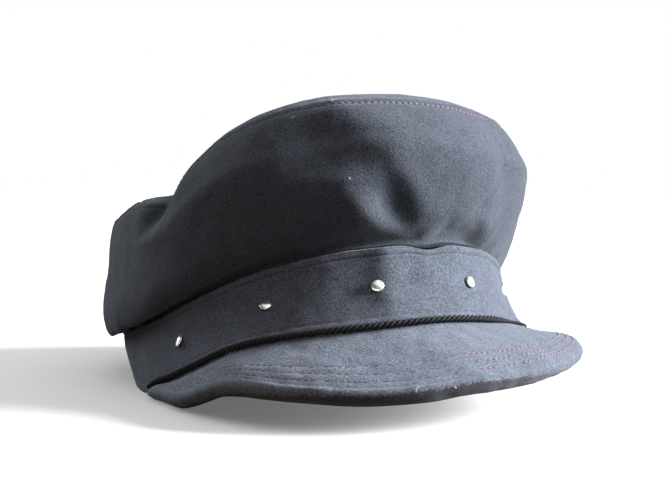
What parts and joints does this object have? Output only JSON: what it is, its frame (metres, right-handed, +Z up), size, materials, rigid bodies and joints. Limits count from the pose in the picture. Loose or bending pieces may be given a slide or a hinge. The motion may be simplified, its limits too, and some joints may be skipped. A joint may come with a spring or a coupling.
{
  "type": "kepi cap",
  "caption": "Soft wool cap with a tall bulging crown, studded head band, twisted cord and drooping padded peak, resting on its brim.",
  "frame": {"origin": "centre of the cap's box, on the surface it rests on", "axes": "+Z up, -Y the way the peak points, +X the wearer's left"},
  "size_m": [0.1834, 0.2566, 0.1268],
  "materials": {
    "wool": "milled slate-blue wool",
    "black_cord": "black twisted cord",
    "silver_stud": "polished"
  },
  "bodies": {
    "root": {"band": "wool", "band_piping": "black_cord", "crown_side": "wool", "crown_top": "wool", "visor": "wool", "visor_cord": "black_cord", "stud_1": "silver_stud", "stud_2": "silver_stud", "stud_3": "silver_stud", "stud_4": "silver_stud", "stud_5": "silver_stud", "stud_6": "silver_stud"}
  },
  "joints": []
}
